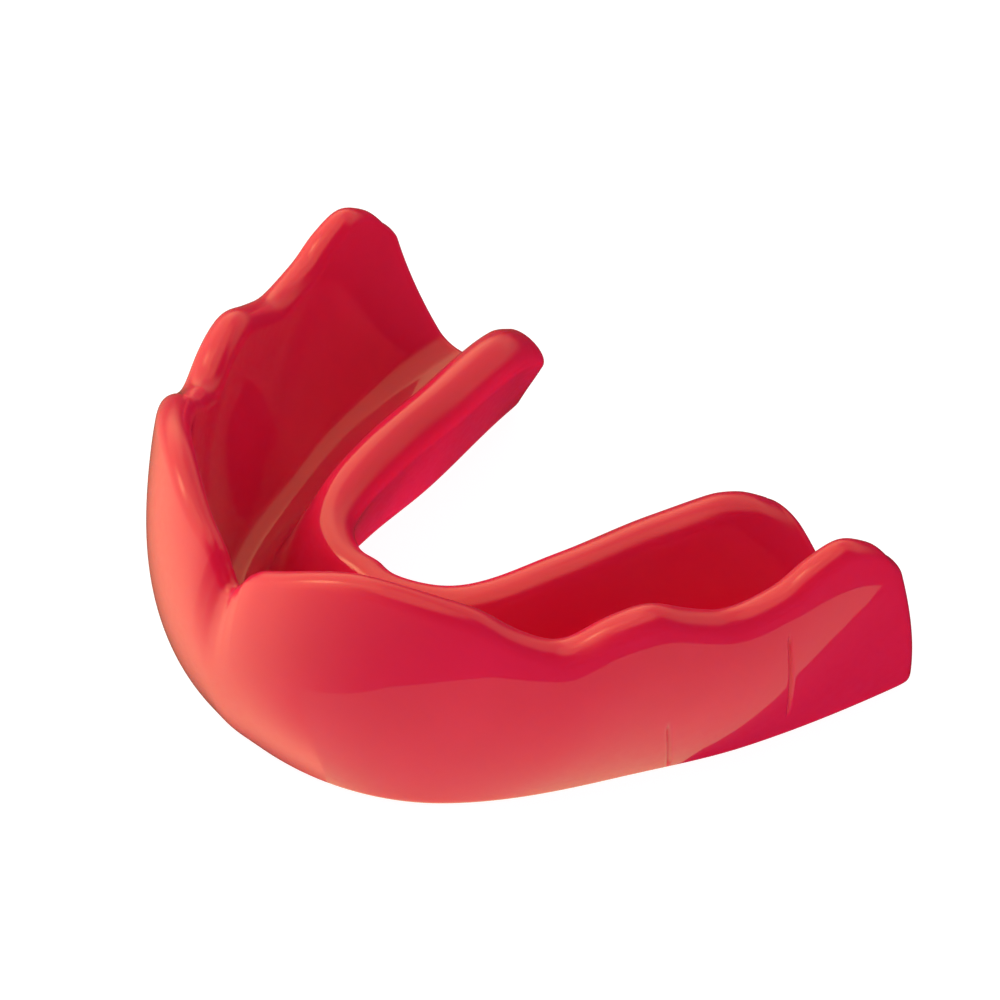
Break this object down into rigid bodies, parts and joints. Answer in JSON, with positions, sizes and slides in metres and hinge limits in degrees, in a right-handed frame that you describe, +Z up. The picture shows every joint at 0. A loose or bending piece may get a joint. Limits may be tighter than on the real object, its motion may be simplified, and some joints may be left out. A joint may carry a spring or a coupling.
{
  "type": "mouthguard",
  "caption": "U-shaped boil-and-bite mouthguard: a moulded arch with an open-topped tooth channel between a wavy outer wall and a lower inner wall.",
  "frame": {"origin": "on the resting face, under the middle of the bounding box", "axes": "+Z up out of the tooth channel, -Y toward the front teeth, +Y toward the open rear ends, +X to the wearer's left; the guard mirrors itself across X = 0"},
  "size_m": [0.061, 0.0496, 0.0217],
  "materials": {
    "eva": "glossy, slightly translucent moulded EVA"
  },
  "bodies": {
    "root": {"mouthguard": "eva"}
  },
  "joints": []
}
